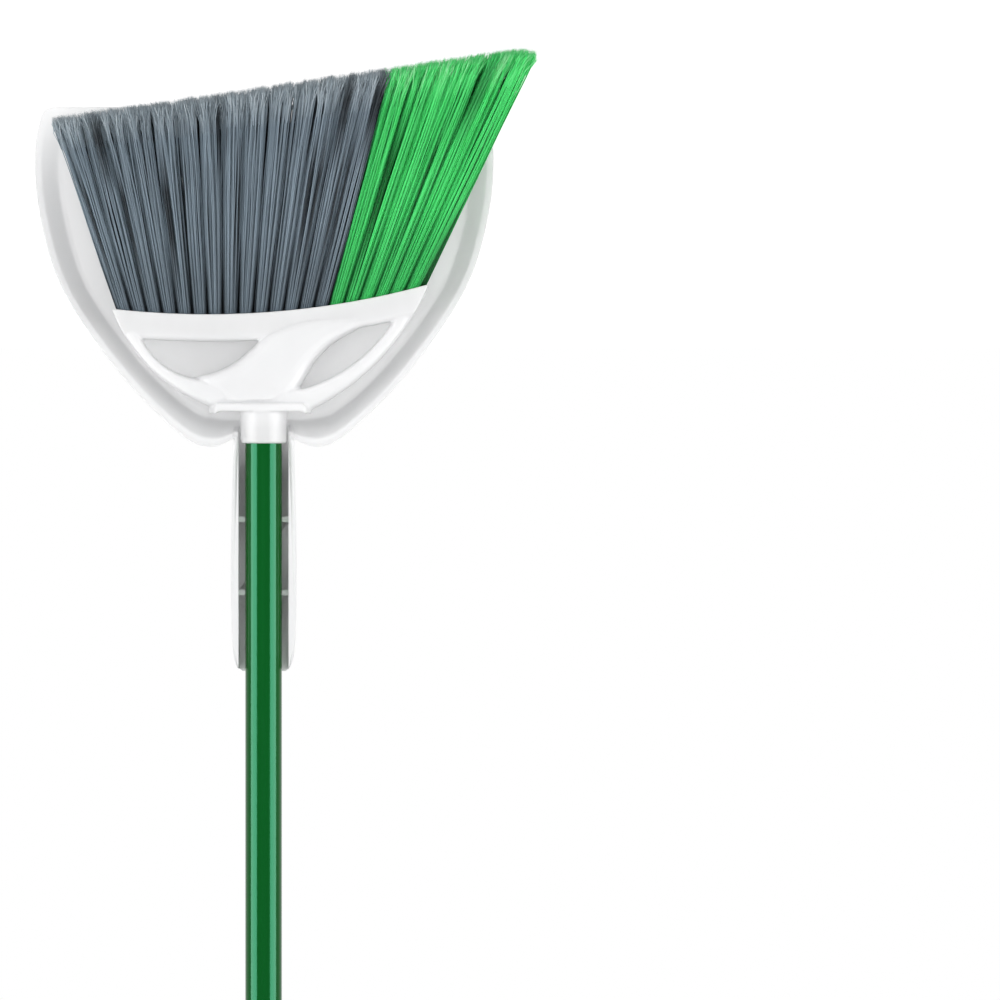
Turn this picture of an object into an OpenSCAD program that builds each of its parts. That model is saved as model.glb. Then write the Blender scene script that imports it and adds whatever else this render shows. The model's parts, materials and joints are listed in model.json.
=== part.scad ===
// Angled floor broom with a clip-on dustpan, hung up by the hole in its cap.
// The handle runs along Z, the bristles point down and the dustpan is clipped on behind, at +Y.
// The origin is the centre of the hanging hole. All sizes are in millimetres and degrees.

/* [Handle] */
// Outside diameter of the steel tube
handle_d = 23.8; // [22:0.1:25]
// Length of the steel tube
tube_len = 1150; // [600:1:1500]
// Wall of the steel tube
tube_wall = 0.5; // [0.3:0.05:1.2]
// Length of the plugs that close the two ends of the tube
plug_len = 30; // [15:1:60]

/* [Hanger cap] */
// Diameter of the hanging hole
hang_hole_d = 9; // [5:0.5:12]
// Thickness of the flat eye around the hole
eye_thick = 11; // [6:0.5:18]
// Radius of the round end of the eye
eye_r = 10.5; // [8:0.5:11]
// Height of the hanging hole above the end of the tube
eye_rise = 20; // [14:0.5:40]
// Height of the round collar that sits on the end of the tube
cap_collar = 5; // [3:0.5:8]

/* [Socket] */
// Outside diameter of the socket at its mouth
socket_d = 29.9; // [28:0.1:32]
// Outside diameter of the socket where it meets the shoulder
socket_base_d = 30.5; // [28:0.1:33]
// Length of the socket above the shoulder
socket_len = 21; // [16:0.5:30]
// Depth that the tube goes into the socket
tube_seat = 10; // [6:0.5:14]
// Outside diameter of the thread on the tip
thread_d = 19; // [16:0.1:20]
// Length of the thread on the tip
thread_len = 26; // [18:0.5:28]
// Thickness of the ring on the tip that the tube stands on
tip_ring = 2.2; // [1.5:0.1:3]

/* [Shoulder] */
// Radius of the round ends of the shoulder plate
shoulder_r = 33.5; // [28:0.5:38]
// Sideways offset of the shoulder plate from the handle
shoulder_x = 2; // [0:0.5:4]
// Depth of the shoulder plate, front to back
shoulder_depth = 33; // [31:0.5:36]
// Thickness of the shoulder plate
shoulder_t = 4.7; // [3:0.1:7]
// Height of the lips turned up at the ends of the shoulder plate
hook_h = 1.9; // [1:0.1:5]
// Thickness of those lips
hook_t = 1.8; // [1.5:0.1:4]

/* [Bar] */
// Length of the bar that holds the bristles, end to end
bar_len = 205; // [202:1:212]
// Radius of the bar's bow
bow_r = 540; // [450:5:800]
// Slope of the bar
bar_tilt = 4.4; // [3:0.1:6]
// Drop from the mouth of the socket to the middle of the bar's bristle face
bar_drop = 85.4; // [82:0.1:95]
// Sideways offset of the middle of the bar
bar_mid_x = -5.2; // [-8:0.1:-2]
// Height of the bar
bar_h = 17.5; // [15:0.5:20]
// Depth of the bar at the bristle face
bar_depth = 31; // [29:0.5:36]
// Depth of the bar at its top
bar_top_depth = 25; // [22:0.5:28]
// Rounding along the bar's top edges
bar_round = 5; // [1:0.5:8]

/* [Arms and web] */
// Depth of the arms at the bar, front to back
arm_depth = 23; // [18:0.5:26]
// Depth of the right arm where it runs into the web
right_neck_depth = 33; // [28:0.5:34]
// Depth of the left arm where it runs in behind the web
left_neck_depth = 28; // [24:0.5:30]
// Share of its depth by which the left arm's outer edge is set back
left_slant = 0.12; // [0:0.01:0.2]
// Width of the arms where they meet the bar
arm_foot = 14; // [11:0.5:18]
// Outward bow of the arms' outer edges
arm_bow = 10; // [6:0.5:13]
// Outward bow of the right arm's inner edge
right_gap_bow = 11.5; // [8:0.5:14]
// Outward bow of the left arm's inner edge
left_gap_bow = 11; // [9:0.5:14]
// Distance of the right window's upper corner outside the end of the shoulder plate
right_gap_out = 4; // [2:0.5:6]
// Drop of the right window's upper corner below the shoulder plate
right_gap_drop = 21; // [19:0.5:23]
// Distance of the left window's upper corner inside the end of the shoulder plate
left_gap_in = 5.5; // [4:0.5:7]
// Drop of the left window's upper corner below the shoulder plate
left_gap_drop = 15; // [13:0.5:17]
// Depth of the web at the shoulder
web_depth = 35; // [32:0.5:37]
// Depth of the web where it fades into the bar
web_end_depth = 25; // [16:0.5:26]

/* [Bristles] */
// Number of grey tufts in a row
grey_tufts = 14; // [12:1:14]
// Number of green tufts in a row
green_tufts = 6; // [4:1:6]
// Distance between tufts along the bar
tuft_pitch = 9.9; // [9.6:0.1:10.1]
// Distance from the bar's end to the first tuft of the front row
tuft_first = 7.2; // [7:0.1:8]
// Offset of the back row along the bar, which sets its tufts between those of the front row
row_stagger = 4.4; // [3:0.1:5]
// Diameter of a tuft's hole
tuft_d = 8; // [6:0.1:8.2]
// Depth of a tuft's hole
tuft_hole = 11; // [8:0.5:12]
// Distance between the front and the back row
row_gap = 12.8; // [11:0.1:14]
// Free length of the bristles below the handle
bristle_len = 147; // [100:1:155]
// Slope of the trimmed tips
trim_tilt = 8.5; // [5:0.1:12]
// Sideways place of the first tuft's tip
first_tip_x = 129.5; // [120:0.5:132]
// Distance between tufts at the tips
tip_pitch = 15.8; // [14:0.1:16]
// Width of a tuft at its tip
tip_w = 13; // [9:0.5:14]
// Depth of a tuft at its tip, front to back
tip_depth = 17; // [10:0.5:19]
// Gap between the front and the back row at the tips
row_part = 2; // [1:0.1:3]
// Number of strands in a tuft
strands = 10; // [8:1:12]
// Thickness of a strand
strand_d = 1.5; // [1:0.1:1.7]
// Length of the wire staple across a tuft's root
staple_len = 11; // [9.5:0.1:12]
// Thickness of the staple's flat wire
staple_t = 0.5; // [0.3:0.05:0.8]
// Height of the staple's flat wire
staple_h = 2.2; // [1.5:0.1:3]

/* [Dustpan] */
// Width of the pan across its rim
pan_w = 300; // [290:1:320]
// Length of the pan from its lip to the top of its lobes
pan_len = 222; // [215:1:240]
// Height of the lobes above the mouth of the socket
lobe_rise = 2.3; // [0:0.1:8]
// Thickness of the pan's wall and floor
pan_wall = 2.2; // [1.6:0.1:3]
// Thickness of the lip's edge
lip_t = 1.1; // [0.8:0.1:1.6]
// Height of the side wall where the skin reaches its full thickness
lip_blend = 8; // [4:0.5:12]
// Distance of the lip's edge behind the handle's axis
lip_y = 29; // [26:0.5:32]
// Distance of the floor behind the handle's axis, at the crease
crease_y = 33; // [31:0.5:38]
// Distance of the floor behind the handle's axis, at the back
floor_y = 35; // [32:0.5:42]
// Length of the ramp from the lip to the crease
ramp_len = 27; // [20:1:40]
// Height of the back wall, from the floor to the rim
back_h = 39; // [30:0.5:42]
// Height of the bead along the rim, at the back
bead_h = 1.2; // [0.6:0.1:2]

/* [Dustpan handle] */
// Width of the channel beside the pan
channel_w = 39.3; // [38.5:0.1:42]
// Width of the channel at its widest
channel_mid_w = 42.5; // [40:0.1:46]
// Width of the channel's round end
channel_end_w = 36; // [35.5:0.1:40]
// Width of the space inside the channel
slot_w = 32.6; // [32:0.1:34]
// Length of the channel past the mouth of the socket
channel_len = 148; // [130:1:180]
// Distance of the channel's floor behind the handle's axis
slot_y = 16; // [15.6:0.1:20]
// Thickness of the channel's floor
channel_floor = 2.6; // [2:0.1:4]
// Narrowing of the channel before its end, on each side
channel_taper = 0.8; // [0.4:0.1:1.2]
// Rounding of the channel's end corners
channel_end_round = 4; // [2:0.5:6]
// Rounding of the channel's back edges
channel_round = 7; // [3:0.5:9]
// Distance of the first rib past the mouth of the socket
first_rib = 47.5; // [30:0.5:60]
// Distance between the two ribs
rib_pitch = 47.5; // [35:0.5:60]
// Thickness of a rib
rib_t = 3.6; // [2:0.1:6]
// Reach of the ribs' fingers past the handle's axis
rib_reach = 2.5; // [0:0.1:5]

/* [Fits] */
// Radial clearance of the screwed tip and of the plugs in the tube
screw_fit = 0.05; // [0.02:0.01:0.1]
// Radial clearance of the tube in the socket
seat_fit = 0.2; // [0.1:0.05:0.4]
// Clearance of the tufts and staples in the bar
tuft_fit = 0.08; // [0.05:0.01:0.15]
// Radial clearance of the ribs round the tube
clip_fit = 0.15; // [0.1:0.05:0.3]

/* [Hidden] */
$fn = 64;
tuft_count = grey_tufts + green_tufts;
rows = ["front", "back"];
function two_digits(n) = str(n < 10 ? "0" : "", n);
function is_grey(i) = i < grey_tufts;
function tuft_name(row, i) = is_grey(i)
    ? str("grey_tuft_", rows[row], "_", two_digits(i + 1))
    : str("green_tuft_", rows[row], "_", two_digits(i + 1 - grey_tufts));
tuft_names = [for (row = [0, 1]) for (i = [0:tuft_count - 1]) tuft_name(row, i)];

plastic_white = "#f1f2f3";
paint_green = "#00722f";
bristle_grey = "#5d646f";
bristle_green = "#22aa48";
wire_steel = "#b9bcc0";

tube_top = -eye_rise;
tube_bottom = tube_top - tube_len;
mouth_z = tube_bottom + tube_seat;
tube_in_r = handle_d / 2 - tube_wall;
// The screwed tip stops this far short of the socket's floor
tip_gap = 0.3;
overlap = 1;

// Heights below the mouth of the socket
plate_top = -socket_len;
plate_bottom = plate_top - shoulder_t;
thread_floor = -tube_seat - tip_ring - thread_len - 2 * tip_gap;

// Curves
function mix(a, b, t) = a + (b - a) * t;
function spline_point(a, b, c, d, t) =
    0.5 * (2 * b + (c - a) * t + (2 * a - 5 * b + 4 * c - d) * t * t
    + (3 * b - a - 3 * c + d) * t * t * t);
function spline(p, steps) = [
    for (i = [0:len(p) - 2])
        for (k = [0:steps - 1])
            spline_point(p[max(i - 1, 0)], p[i], p[i + 1], p[min(i + 2, len(p) - 1)], k / steps),
    p[len(p) - 1]
];
// Points on a circular arc from p to q that bows out to the left of the way from p to q
function arc_between(p, q, bow, steps) =
    let (
        chord = q - p,
        l = norm(chord),
        r = (l * l / 4 + bow * bow) / (2 * bow),
        centre = (p + q) / 2 + [-chord.y, chord.x] / l * (bow - r),
        start = atan2(p.y - centre.y, p.x - centre.x),
        sweep = 2 * asin(l / 2 / r)
    )
    [for (k = [0:steps]) centre + r * [cos(start - sweep * k / steps), sin(start - sweep * k / steps)]];

// Faces of a skin over rings that all have the same number of points. From the point mirror_from on, the
// faces are split along their other diagonal
function skin(rings, points, mirror_from) = [
    for (i = [0:rings - 2])
        for (j = [0:points - 1])
            let (a = i * points + j, b = i * points + (j + 1) % points)
                each j < mirror_from
                    ? [[a, b, b + points], [a, b + points, a + points]]
                    : [[a, b, a + points], [b, b + points, a + points]]
];
function fan(first, points) = [for (j = [1:points - 2]) [first, first + j + 1, first + j]];
function flipped(faces) = [for (f = faces) [f[2], f[1], f[0]]];

// The bar's bow: its centre, and points on it by the distance along it from its +X end
bow_half = asin(bar_len / 2 / bow_r);
bow_centre = [bar_mid_x, -bar_drop] + bow_r * [sin(bar_tilt), -cos(bar_tilt)];
function bow_at(angle, r) = bow_centre + r * [-sin(bar_tilt + angle), cos(bar_tilt + angle)];
function bar_point(along) = bow_at(along / bow_r * 180 / PI - bow_half, bow_r);
function bar_z(x) = bow_centre.y + sqrt(bow_r * bow_r - pow(x - bow_centre.x, 2));
// Ends of the bar, and the feet of the arms on it, just above the bristle face
foot_r = bow_r + overlap;
right_end = bow_at(-bow_half, foot_r);
left_end = bow_at(bow_half, foot_r);

// The two arms, as outer and inner edges from the bar up to the shoulder
arm_steps = 14;
right_foot = bow_at(-bow_half + arm_foot / foot_r * 180 / PI, foot_r);
left_foot = bow_at(bow_half - arm_foot / foot_r * 180 / PI, foot_r);
neck_right = [shoulder_x + shoulder_r - hook_t, plate_bottom + 2 * overlap];
neck_left = [shoulder_x - shoulder_r, plate_top - overlap];
// Undersides of the arms where they run into the web
web_right = [shoulder_x + shoulder_r + right_gap_out, plate_top - right_gap_drop];
web_left = [shoulder_x - shoulder_r + left_gap_in, plate_top - left_gap_drop];
// The right arm's upper end dips into the web, and the left arm's runs on under the plate to the right one
right_sink = [20, 0];
right_dip = [0, 6];
left_sink = [neck_right.x - neck_left.x - hook_t, 0];
right_outer = concat(
    [neck_right - right_sink - right_dip], arc_between(neck_right, right_end, arm_bow, arm_steps)
);
right_inner = concat([web_right - right_sink], arc_between(web_right, right_foot, right_gap_bow, arm_steps));
left_outer = concat(arc_between(left_end, neck_left, arm_bow, arm_steps), [neck_left + left_sink]);
left_inner = concat(arc_between(left_foot, web_left, left_gap_bow, arm_steps), [web_left + left_sink]);

// The web's two edges. Each point is a share of half the bar's length, across, and a share of the way from
// the shoulder to the bar
web_steps = 4;
web_right_shape = [
    [0.25, 0.085], [0.43, 0.32], [0.332, 0.385], [0.205, 0.475], [0.093, 0.61],
    [0.004, 0.745], [-0.104, 0.83], [-0.234, 0.89], [-0.361, 0.905]
];
web_left_shape = [
    [-0.1, 0.105], [-0.2, 0.16], [-0.25, 0.263], [-0.293, 0.38], [-0.341, 0.49],
    [-0.42, 0.605], [-0.488, 0.67], [-0.566, 0.72], [-0.702, 0.8]
];
function web_edge(shape) = [
    for (p = spline(shape, web_steps))
        let (x = p.x * bar_len / 2) [x, mix(plate_top - overlap, bar_z(x), p.y)]
];

// Tufts: the root on the bar's face, the tip on the trim line, and the hole's lean between them
trim_z = bar_z(0) - bristle_len;
function tuft_root(row, i) = bar_point(tuft_first + row * row_stagger + i * tuft_pitch);
function tuft_tip(i) =
    let (x = first_tip_x - i * tip_pitch)
    [x, trim_z + x * tan(trim_tilt)];
function lean(row, i) = let (d = tuft_tip(i) - tuft_root(row, i)) atan2(d.x, -d.y);
function row_y(row) = (row == 0 ? -1 : 1) * row_gap / 2;
function tip_y(row) = (row == 0 ? -1 : 1) * (tip_depth + row_part) / 2;
golden_angle = 137.508;
function strand_spot(k) =
    let (r = sqrt((k + 0.5) / strands), a = golden_angle * k)
    [r * cos(a), r * sin(a)];

// The pan's rim and floor outlines from the lip to the channel, as shares of half its width and of its length.
// Both end in the middle of the channel's wall
pan_steps = 4;
channel_side = (channel_w + slot_w) / 2 / pan_w;
rim_shape = [
    [0.92, -1], [0.967, -0.977], [0.997, -0.868], [0.977, -0.685], [0.873, -0.46],
    [0.62, -0.213], [0.367, -0.042], [0.233, 0], [channel_side, -0.028]
];
floor_shape = [
    [0.82, -0.972], [0.855, -0.95], [0.89, -0.86], [0.87, -0.69], [0.77, -0.47],
    [0.535, -0.25], [0.32, -0.115], [0.2, -0.09], [channel_side, -0.085]
];
function pan_edge(shape) = [
    for (p = spline(shape, pan_steps)) [p.x * pan_w / 2, lobe_rise + p.y * pan_len]
];
rim_edge = pan_edge(rim_shape);
floor_edge = pan_edge(floor_shape);
lip_z = lobe_rise - pan_len;
crease_z = lip_z + ramp_len;
function floor_at(z) = z < crease_z
    ? mix(lip_y, crease_y, (z - lip_z) / ramp_len)
    : mix(crease_y, floor_y, (z - crease_z) / (lobe_rise - crease_z));
least_wall_h = 0.05;
function wall_h(z) = max(least_wall_h, back_h * (z - lip_z) / pan_len);
// Each ring of the pan: share of the way from rim to floor outline, share of the wall's height, and share of
// the skin's thickness. They run from the underside up the wall, round the rim's bead and down to the floor
bead_top = 1 + bead_h / back_h;
pan_rings = [
    [1.00, 0.00, 1], [0.88, 0.02, 1], [0.79, 0.08, 1], [0.71, 0.17, 1],
    [0.20, 0.91, 1], [0.13, 0.98, 1], [0.02, 1.00, 1], [0.00, 1.00, 0.75],
    [0.00, 1.00, 0], [0.02, bead_top, 0], [0.055, bead_top, 0], [0.08, 1.00, 0],
    [0.22, 1.00, 0], [0.29, 0.97, 0], [0.345, 0.89, 0],
    [0.835, 0.18, 0], [0.90, 0.085, 0], [0.98, 0.02, 0], [1.16, 0.00, 0]
];
function pan_point(j, ring) =
    let (
        p = mix(rim_edge[j], floor_edge[j], ring[0]),
        h = wall_h(rim_edge[j].y),
        skin_t = mix(lip_t, pan_wall, min(1, h / lip_blend))
    )
    [p.x, floor_at(p.y) - h * ring[1] + skin_t * ring[2], p.y];
function half_ring(ring) = [for (j = [0:len(rim_edge) - 1]) pan_point(j, ring)];
function full_ring(ring) =
    let (h = half_ring(ring), n = len(h))
    concat(h, [for (j = [n - 1:-1:0]) [-h[j].x, h[j].y, h[j].z]]);
// A floor in strips that run straight across from one half of a ring to the other
function floor_strips(first, half) = [
    for (j = [0:half - 2])
        let (a = first + j, b = first + j + 1, c = first + 2 * half - 2 - j, d = first + 2 * half - 1 - j)
            each [[a, b, c], [a, c, d]]
];

// Places a child in the frame of the mouth of the socket
module at_mouth() {
    translate([0, 0, mouth_z]) children();
}

// Turns an outline drawn in X and Z into a slab that is centred front to back
module slab(depth) {
    rotate([90, 0, 0]) linear_extrude(depth, center = true) children();
}

// A soft-edged band between two edges that are drawn in X and Z. A larger fade keeps its first depth for longer,
// and a slant sets the side at edge_a back by that share
module ribbon(edge_a, edge_b, depth, end_depth, fade, slant) {
    sides = 20;
    softness = 0.55;
    function soft(v) = sign(v) * pow(abs(v), softness);
    rings = len(edge_a);
    points = [
        for (i = [0:rings - 1])
            let (
                middle = (edge_a[i] + edge_b[i]) / 2,
                half = (edge_a[i] - edge_b[i]) / 2,
                half_depth = mix(depth, end_depth, pow(i / (rings - 1), fade)) / 2
            )
                for (k = [0:sides - 1])
                    let (c = soft(cos(360 * k / sides)), s = soft(sin(360 * k / sides)))
                        [middle.x + half.x * c, half_depth * s * (1 - slant * c), middle.y + half.y * c]
    ];
    faces = concat(
        skin(rings, sides, sides),
        fan(0, sides),
        flipped(fan((rings - 1) * sides, sides))
    );
    polyhedron(points, faces);
}

module handle_tube() {
    color(paint_green)
        translate([0, 0, tube_bottom])
            difference() {
                cylinder(d = handle_d, h = tube_len);
                translate([0, 0, -overlap]) cylinder(r = tube_in_r, h = tube_len + 2 * overlap);
            }
}

module hanger_cap() {
    edge = 1.2;
    collar_r = handle_d / 2;
    plug_r = tube_in_r - screw_fit;
    color(paint_green) difference() {
        union() {
            translate([0, 0, tube_top])
                rotate_extrude() polygon([
                    [0, -plug_len], [plug_r - edge, -plug_len], [plug_r, -plug_len + edge], [plug_r, 0],
                    [collar_r, 0], [collar_r, cap_collar - edge], [collar_r - edge, cap_collar],
                    [0, cap_collar]
                ]);
            slab(eye_thick) hull() {
                circle(r = eye_r);
                translate([-eye_r + edge, tube_top + cap_collar - overlap])
                    square([2 * (eye_r - edge), overlap]);
            }
        }
        rotate([90, 0, 0]) cylinder(d = hang_hole_d, h = 2 * eye_thick, center = true);
    }
}

// The plug in the tube's lower end, with a ring that the tube stands on and a threaded stub
module thread_tip() {
    edge = 1.5;
    plug_r = tube_in_r - screw_fit;
    stub_r = thread_d / 2 - screw_fit;
    stub_bottom = -tip_ring - thread_len;
    color(plastic_white)
        translate([0, 0, tube_bottom])
            rotate_extrude() polygon([
                [0, stub_bottom], [stub_r - edge, stub_bottom], [stub_r, stub_bottom + edge],
                [stub_r, -tip_ring], [handle_d / 2, -tip_ring], [handle_d / 2, 0], [plug_r, 0],
                [plug_r, plug_len - edge], [plug_r - edge, plug_len], [0, plug_len]
            ]);
}

// The bowed bar that holds the tufts, cut off along the arms' outer edges
module bar() {
    corner_steps = 4;
    top = bow_r + bar_h;
    bottom_half = bar_depth / 2;
    top_half = bar_top_depth / 2;
    round_top = [
        for (k = [0:corner_steps])
            [top - bar_round + bar_round * sin(90 * k / corner_steps),
             top_half - bar_round + bar_round * cos(90 * k / corner_steps)]
    ];
    mirrored_top = [for (k = [corner_steps:-1:0]) [round_top[k].x, -round_top[k].y]];
    profile = concat([[bow_r, -bottom_half], [bow_r, bottom_half]], round_top, mirrored_top);
    end_margin = 2;
    reach = bow_half + end_margin;
    intersection() {
        translate([bow_centre.x, 0, bow_centre.y])
            rotate([90, 0, 0])
                rotate([0, 0, 90 + bar_tilt - reach])
                    rotate_extrude(angle = 2 * reach, $fn = 720) polygon(profile);
        slab(2 * bar_depth) polygon(concat(
            right_outer, [right_end - [0, bar_h]], [left_end - [0, bar_h]], left_outer
        ));
    }
}

// The dished plate at the top of the head, with its ends turned up
module shoulder() {
    intersection() {
        translate([shoulder_x, 0, plate_bottom])
            rotate_extrude() polygon([
                [0, 0], [shoulder_r - hook_t, 0], [shoulder_r, shoulder_t / 2],
                [shoulder_r, shoulder_t + hook_h / 2], [shoulder_r - hook_t / 3, shoulder_t + hook_h],
                [shoulder_r - 2 * hook_t / 3, shoulder_t + hook_h / 2], [shoulder_r - 2 * hook_t, shoulder_t],
                [0, shoulder_t]
            ]);
        cube([4 * shoulder_r, shoulder_depth, 4 * socket_len], center = true);
    }
}

module socket() {
    lip = 1.2;
    rotate_extrude() polygon([
        [0, plate_bottom], [socket_base_d / 2, plate_bottom], [socket_base_d / 2, plate_top],
        [socket_d / 2, -lip], [socket_d / 2 - lip / 3, -lip / 3], [socket_d / 2 - lip, 0], [0, 0]
    ]);
}

module socket_bore() {
    translate([0, 0, -tube_seat - tip_ring - tip_gap])
        cylinder(r = handle_d / 2 + seat_fit, h = tube_seat + tip_ring + tip_gap + overlap);
    translate([0, 0, thread_floor])
        cylinder(d = thread_d, h = thread_len + 2 * tip_gap);
}

// Places a child at a tuft's root, with -Z along its hole towards the tips
module at_tuft(row, i) {
    root = tuft_root(row, i);
    translate([root.x, row_y(row), root.y])
        rotate([0, -lean(row, i), 0])
            children();
}

module tuft_holes() {
    for (row = [0, 1])
        for (i = [0:tuft_count - 1])
            at_tuft(row, i) {
                translate([0, 0, -tuft_d]) cylinder(d = tuft_d, h = tuft_hole + tuft_d);
                translate([0, 0, tuft_hole - staple_h / 2 - tuft_fit])
                    cube([staple_t, staple_len, staple_h] + 2 * tuft_fit * [1, 1, 1], center = true);
            }
}

module broom_head() {
    color(plastic_white) at_mouth() difference() {
        union() {
            bar();
            ribbon(right_outer, right_inner, right_neck_depth, arm_depth, 1, 0);
            ribbon(left_outer, left_inner, arm_depth * (1 - left_slant), left_neck_depth, 1, left_slant);
            ribbon(web_edge(web_right_shape), web_edge(web_left_shape), web_depth, web_end_depth, 5, 0);
            shoulder();
            socket();
        }
        socket_bore();
        tuft_holes();
    }
}

module staple() {
    translate([0, 0, tuft_hole - staple_h / 2 - tuft_fit])
        cube([staple_t, staple_len, staple_h], center = true);
}

module tuft_staples() {
    color(wire_steel) at_mouth()
        for (row = [0, 1])
            for (i = [0:tuft_count - 1])
                at_tuft(row, i) staple();
}

// The strands of one tuft, from inside its root to the trim line. They spread evenly, so none cross.
module tuft_strands(row, i) {
    root = tuft_root(row, i);
    tip = tuft_tip(i);
    hole_lean = lean(row, i);
    // The strands' corners stay this far inside the root
    margin = 0.2;
    start_r = tuft_d / 2 - tuft_fit - strand_d / 2 - margin;
    function at_root(s) = [root.x + s.x * start_r * cos(hole_lean), row_y(row) + s.y * start_r,
        root.y + s.x * start_r * sin(hole_lean)];
    function at_tip(s) = [tip.x + s.x * tip_w / 2, tip_y(row) + s.y * tip_depth / 2,
        tip.y + s.x * tip_w / 2 * tan(trim_tilt)];
    // The strands start inside the root, by this share of their length
    sink = 0.012;
    corner = [for (k = [0:2]) strand_d / 2 * [cos(120 * k), sin(120 * k), 0]];
    points = [
        for (k = [0:strands - 1])
            let (s = strand_spot(k), a = at_root(s), b = at_tip(s))
                each concat(
                    [for (c = corner) mix(a, b, -sink) + c],
                    [for (c = corner) b + c]
                )
    ];
    faces = [
        for (k = [0:strands - 1])
            let (n = 6 * k)
                each [
                    [n, n + 2, n + 1], [n + 3, n + 4, n + 5],
                    [n, n + 1, n + 3], [n + 1, n + 4, n + 3], [n + 1, n + 2, n + 4],
                    [n + 2, n + 5, n + 4], [n + 2, n, n + 5], [n, n + 3, n + 5]
                ]
    ];
    polyhedron(points, faces);
}

// One tuft: its folded root, which fills the hole and straddles the staple, and its strands
module tuft(row, i) {
    color(is_grey(i) ? bristle_grey : bristle_green) at_mouth() {
        at_tuft(row, i) difference() {
            cylinder(r = tuft_d / 2 - tuft_fit, h = tuft_hole);
            translate([0, 0, tuft_hole - staple_h / 2 - tuft_fit])
                cube([staple_t + 2 * tuft_fit, tuft_d, staple_h + 4 * tuft_fit], center = true);
        }
        tuft_strands(row, i);
    }
}

// The pan: one skin from its underside up over the rim and down to its floor
module pan() {
    half = len(rim_edge);
    ring_points = 2 * half;
    last = (len(pan_rings) - 1) * ring_points;
    points = [for (ring = pan_rings) each full_ring(ring)];
    faces = concat(
        flipped(skin(len(pan_rings), ring_points, half)),
        floor_strips(0, half),
        flipped(floor_strips(last, half))
    );
    polyhedron(points, faces);
}

// The outside of the channel that grips the handle, bulged at its sides and round at its end
module channel_body() {
    // The channel starts inside the pan's sloping back wall, at these shares of the way from its rim to the floor
    rim_share = 0.25;
    floor_share = 0.9;
    rim_z = rim_edge[len(rim_edge) - 1].y;
    floor_z = floor_edge[len(floor_edge) - 1].y;
    top_start = mix(rim_z, floor_z, rim_share);
    start_z = mix(rim_z, floor_z, floor_share);
    front = floor_y - back_h;
    back = slot_y + channel_floor;
    corner_steps = 5;
    half = channel_mid_w / 2;
    corner = [
        for (k = [0:corner_steps])
            let (a = 90 * k / corner_steps)
                [half - channel_round + channel_round * cos(a), back - channel_round + channel_round * sin(a)]
    ];
    mirrored = [for (k = [corner_steps:-1:0]) [-corner[k].x, corner[k].y]];
    side = spline([
        [channel_w / 2, start_z], [channel_w / 2, 0], [channel_mid_w / 2, channel_len * 0.5],
        [channel_mid_w / 2 - channel_taper, channel_len * 0.86], [channel_end_w / 2, channel_len * 0.97],
        [channel_end_w / 2 - channel_end_round, channel_len]
    ], 4);
    other_side = [for (k = [len(side) - 1:-1:0]) [-side[k].x, side[k].y]];
    intersection() {
        translate([0, 0, start_z])
            linear_extrude(channel_len - start_z)
                polygon(concat([[half, front]], corner, mirrored, [[-half, front]]));
        slab(4 * back_h) polygon(concat(side, other_side));
        rotate([90, 0, 90])
            linear_extrude(2 * channel_mid_w, center = true)
                polygon([[front, top_start], [floor_y, start_z], [floor_y, channel_len], [front, channel_len]]);
    }
}

// A cross rib whose cut-out takes the handle from the front
module rib() {
    seat_r = handle_d / 2 + clip_fit;
    // The fingers stand a little closer together than the seat, and still pass the tube
    mouth_w = handle_d + clip_fit;
    difference() {
        translate([-slot_w / 2 - overlap, -rib_reach, 0])
            cube([slot_w + 2 * overlap, slot_y + rib_reach + overlap, rib_t]);
        translate([0, 0, -overlap]) cylinder(r = seat_r, h = rib_t + 2 * overlap);
        translate([-mouth_w / 2, -handle_d, -overlap]) cube([mouth_w, handle_d, rib_t + 2 * overlap]);
    }
}

module dustpan() {
    color(plastic_white) at_mouth() {
        difference() {
            union() {
                pan();
                channel_body();
            }
            translate([-slot_w / 2, slot_y - 3 * back_h, -2 * socket_len])
                cube([slot_w, 3 * back_h, 2 * channel_len]);
        }
        for (k = [0, 1])
            translate([0, 0, first_rib + k * rib_pitch]) rib();
    }
}

handle_tube();
hanger_cap();
thread_tip();
broom_head();
tuft_staples();
dustpan();
for (row = [0, 1])
    for (i = [0:tuft_count - 1])
        tuft(row, i);
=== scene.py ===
"""Looks of an angled floor broom with a clip-on dustpan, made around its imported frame.

The broom stands with its handle along Z and its bristles down. All lengths are in metres.
"""

import json
import math

import bmesh
import bpy
import numpy as np
from mathutils import Matrix, Vector

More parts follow.
